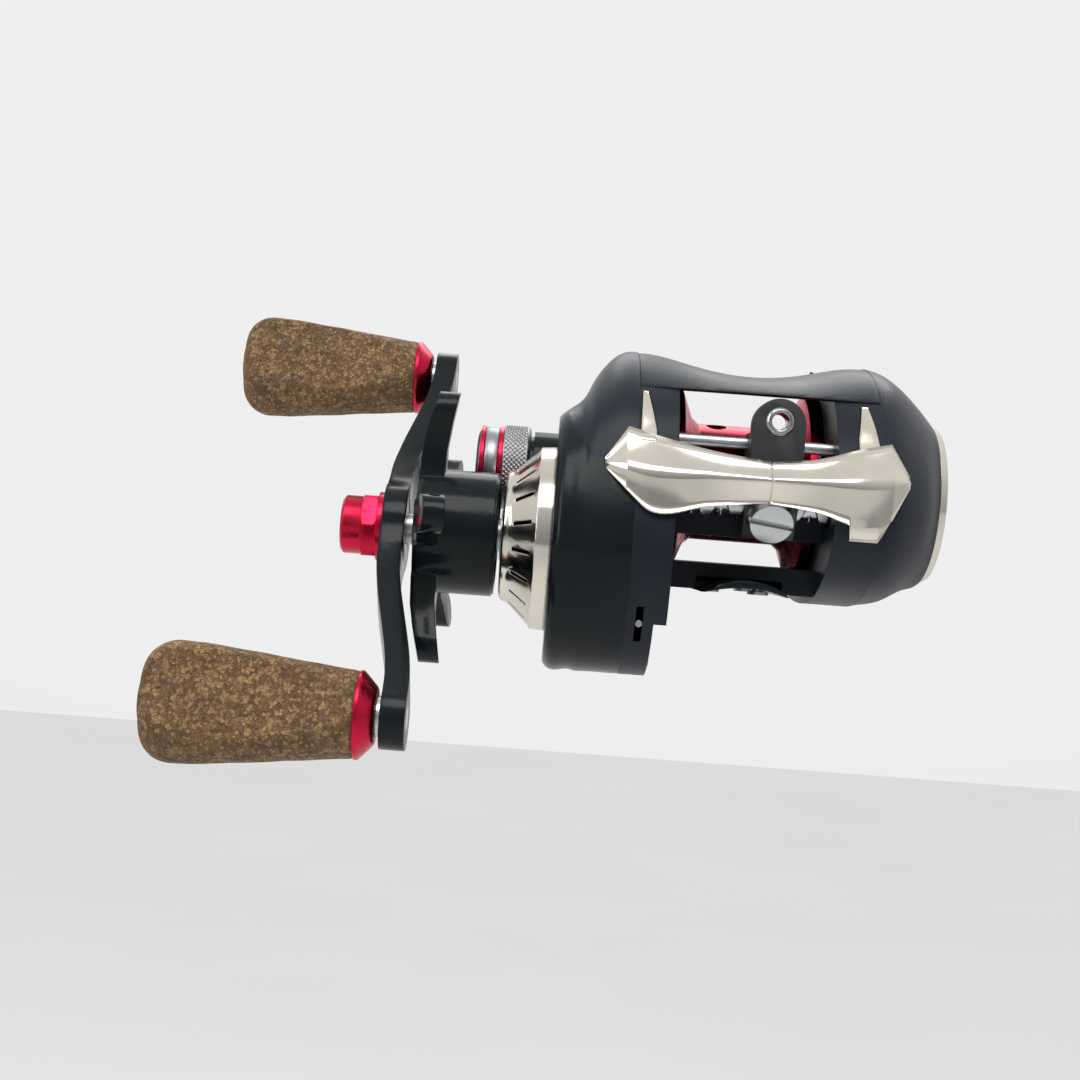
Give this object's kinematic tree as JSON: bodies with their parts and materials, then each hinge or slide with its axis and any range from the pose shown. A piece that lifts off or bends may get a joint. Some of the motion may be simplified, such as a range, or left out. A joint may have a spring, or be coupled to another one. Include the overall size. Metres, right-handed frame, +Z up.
{
  "type": "baitcasting fishing reel",
  "caption": "Low-profile baitcasting reel: drilled spool, level-wind line guide, star drag, swept handle with cork knobs, cast-control cap, brake dial and thumb-bar clutch.",
  "frame": {"origin": "centre of the reel foot's underside, in the plane of its lower edges, midway between the two side walls", "axes": "+X from the handle side to the palm side along the spool axis, -Y towards the line guide (where line leaves), +Z up from the foot"},
  "size_m": [0.1366, 0.0857, 0.0818],
  "materials": {
    "charcoal_paint": "satin charcoal paint with a faint blue cast",
    "gloss_black": "deep gloss black with bright worn edges",
    "champagne_chrome": "warm polished plating",
    "red_anodised": "crimson anodised, fine turned lines",
    "bright_aluminium": "fine brushed",
    "steel": "ground and lightly oiled",
    "spring_steel": "drawn wire",
    "brass": "machined brass",
    "dark_plastic": "fine moulded grain",
    "gear_plastic": "unfilled engineering plastic",
    "carbon_washer": "woven carbon drag washer",
    "eye_ring": "hard polished ring",
    "cork": "cork and rubber granules",
    "magnet_plating": "nickel plated"
  },
  "bodies": {
    "reel_body": {"frame": "charcoal_paint", "reel_foot": "gloss_black", "foot_rivets": "steel", "top_hood": "charcoal_paint", "brow_cover": "champagne_chrome", "handle_side_cover": "charcoal_paint", "cover_collar": "champagne_chrome", "handle_cover_screws": "steel", "notch_screw": "steel", "palm_side_cover": "charcoal_paint", "dial_bezel": "champagne_chrome", "palm_cover_screws": "steel", "one_way_clutch": "steel", "drive_shaft_bearing": "steel", "pinion_bearing": "steel", "spool_bearing_handle": "steel", "spool_bearing_palm": "steel", "worm_bushings": "dark_plastic", "guide_rod": "bright_aluminium", "yoke_springs": "spring_steel"},
    "spool_assembly": {"spool": "red_anodised", "spool_shaft": "steel", "spool_pin": "steel"},
    "handle": {"drive_shaft": "steel", "main_gear": "brass", "drag_washers": "carbon_washer", "drag_sleeve": "steel", "drag_springs": "spring_steel", "wind_drive_gear": "gear_plastic", "handle_arm": "gloss_black", "handle_nut": "red_anodised", "knob_spindles": "steel", "knob_screws": "steel"},
    "front_knob": {"front_grip": "cork", "front_knob_collar": "red_anodised", "front_knob_bushings": "dark_plastic", "front_knob_cap": "dark_plastic"},
    "rear_knob": {"rear_grip": "cork", "rear_knob_collar": "red_anodised", "rear_knob_bushings": "dark_plastic", "rear_knob_cap": "dark_plastic"},
    "star": {"star_drag": "gloss_black"},
    "star_nut": {"drag_nut": "brass"},
    "shim_slide": {"tension_shim": "dark_plastic"},
    "cast_cap": {"cast_control_cap": "bright_aluminium", "cap_rings": "red_anodised"},
    "level_wind_worm": {"worm_shaft": "steel", "worm_gear": "gear_plastic"},
    "line_carriage": {"line_guide": "dark_plastic", "guide_eye": "eye_ring", "pawl": "brass", "pawl_cap": "bright_aluminium"},
    "thumb_release": {"thumb_bar": "dark_plastic", "clutch_plate": "gear_plastic"},
    "yoke": {"clutch_yoke": "dark_plastic"},
    "pinion_gear": {"pinion": "brass"},
    "dial": {"brake_dial": "gloss_black"},
    "magnet_carrier": {"magnet_holder": "gear_plastic", "brake_magnets": "magnet_plating"}
  },
  "joints": [
    {"name": "handle_turn", "type": "hinge", "parent": "reel_body", "child": "handle", "pos_m": [0, -0.01503, 0.0072], "axis": [1, 0, 0], "continuous": true},
    {"name": "spool_spin", "type": "hinge", "parent": "reel_body", "child": "spool_assembly", "pos_m": [0, 0, 0.0204], "axis": [1, 0, 0], "continuous": true},
    {"name": "worm_spin", "type": "hinge", "parent": "reel_body", "child": "level_wind_worm", "pos_m": [0, -0.02453, 0.01607], "axis": [1, 0, 0], "continuous": true},
    {"name": "front_knob_spin", "type": "hinge", "parent": "handle", "child": "front_knob", "pos_m": [-0.08, -0.0465, -0.02362], "axis": [1, 0, 0], "continuous": true},
    {"name": "rear_knob_spin", "type": "hinge", "parent": "handle", "child": "rear_knob", "pos_m": [-0.08, 0.01645, 0.03802], "axis": [1, 0, 0], "continuous": true},
    {"name": "star_turn", "type": "hinge", "parent": "handle", "child": "star", "pos_m": [-0.055, -0.01503, 0.0072], "axis": [1, 0, 0], "range_deg": [-180, 180]},
    {"name": "drag_nut_travel", "type": "slide", "parent": "handle", "child": "star_nut", "axis": [1, 0, 0], "range_m": [-0.00041, 0.00041]},
    {"name": "cap_travel", "type": "slide", "parent": "reel_body", "child": "shim_slide", "axis": [1, 0, 0], "range_m": [-0.000375, 0.000375]},
    {"name": "cast_cap_turn", "type": "hinge", "parent": "shim_slide", "child": "cast_cap", "pos_m": [-0.045, 0, 0.0204], "axis": [1, 0, 0], "range_deg": [-181, 181]},
    {"name": "line_guide_travel", "type": "slide", "parent": "reel_body", "child": "line_carriage", "axis": [1, 0, 0], "range_m": [-0.0111, 0.0052]},
    {"name": "thumb_bar_press", "type": "slide", "parent": "reel_body", "child": "thumb_release", "axis": [0, 0, -1], "range_m": [0, 0.004]},
    {"name": "yoke_shift", "type": "slide", "parent": "reel_body", "child": "yoke", "axis": [-1, 0, 0], "range_m": [0, 0.00151], "deforming": ["yoke_springs"]},
    {"name": "pinion_spin", "type": "hinge", "parent": "yoke", "child": "pinion_gear", "pos_m": [-0.02, 0, 0.0204], "axis": [1, 0, 0], "continuous": true},
    {"name": "brake_dial_turn", "type": "hinge", "parent": "reel_body", "child": "dial", "pos_m": [0.036, -0.003, 0.019], "axis": [1, 0, 0], "range_deg": [0, 270]},
    {"name": "magnet_travel", "type": "slide", "parent": "reel_body", "child": "magnet_carrier", "axis": [-1, 0, 0], "range_m": [0, 0.00251]}
  ],
  "couplings": [
    {"joint": "spool_spin", "follows": "handle_turn", "ratio": -6.2727},
    {"joint": "pinion_spin", "follows": "handle_turn", "ratio": -6.2727},
    {"joint": "worm_spin", "follows": "handle_turn", "ratio": -1.1667},
    {"joint": "drag_nut_travel", "follows": "star_turn", "m_per_rad": 0.00012732},
    {"joint": "cast_cap_turn", "follows": "cap_travel", "rad_per_m": 8377.6},
    {"joint": "yoke_shift", "follows": "thumb_bar_press", "ratio": 0.375},
    {"joint": "magnet_travel", "follows": "brake_dial_turn", "m_per_rad": 0.00053052}
  ]
}
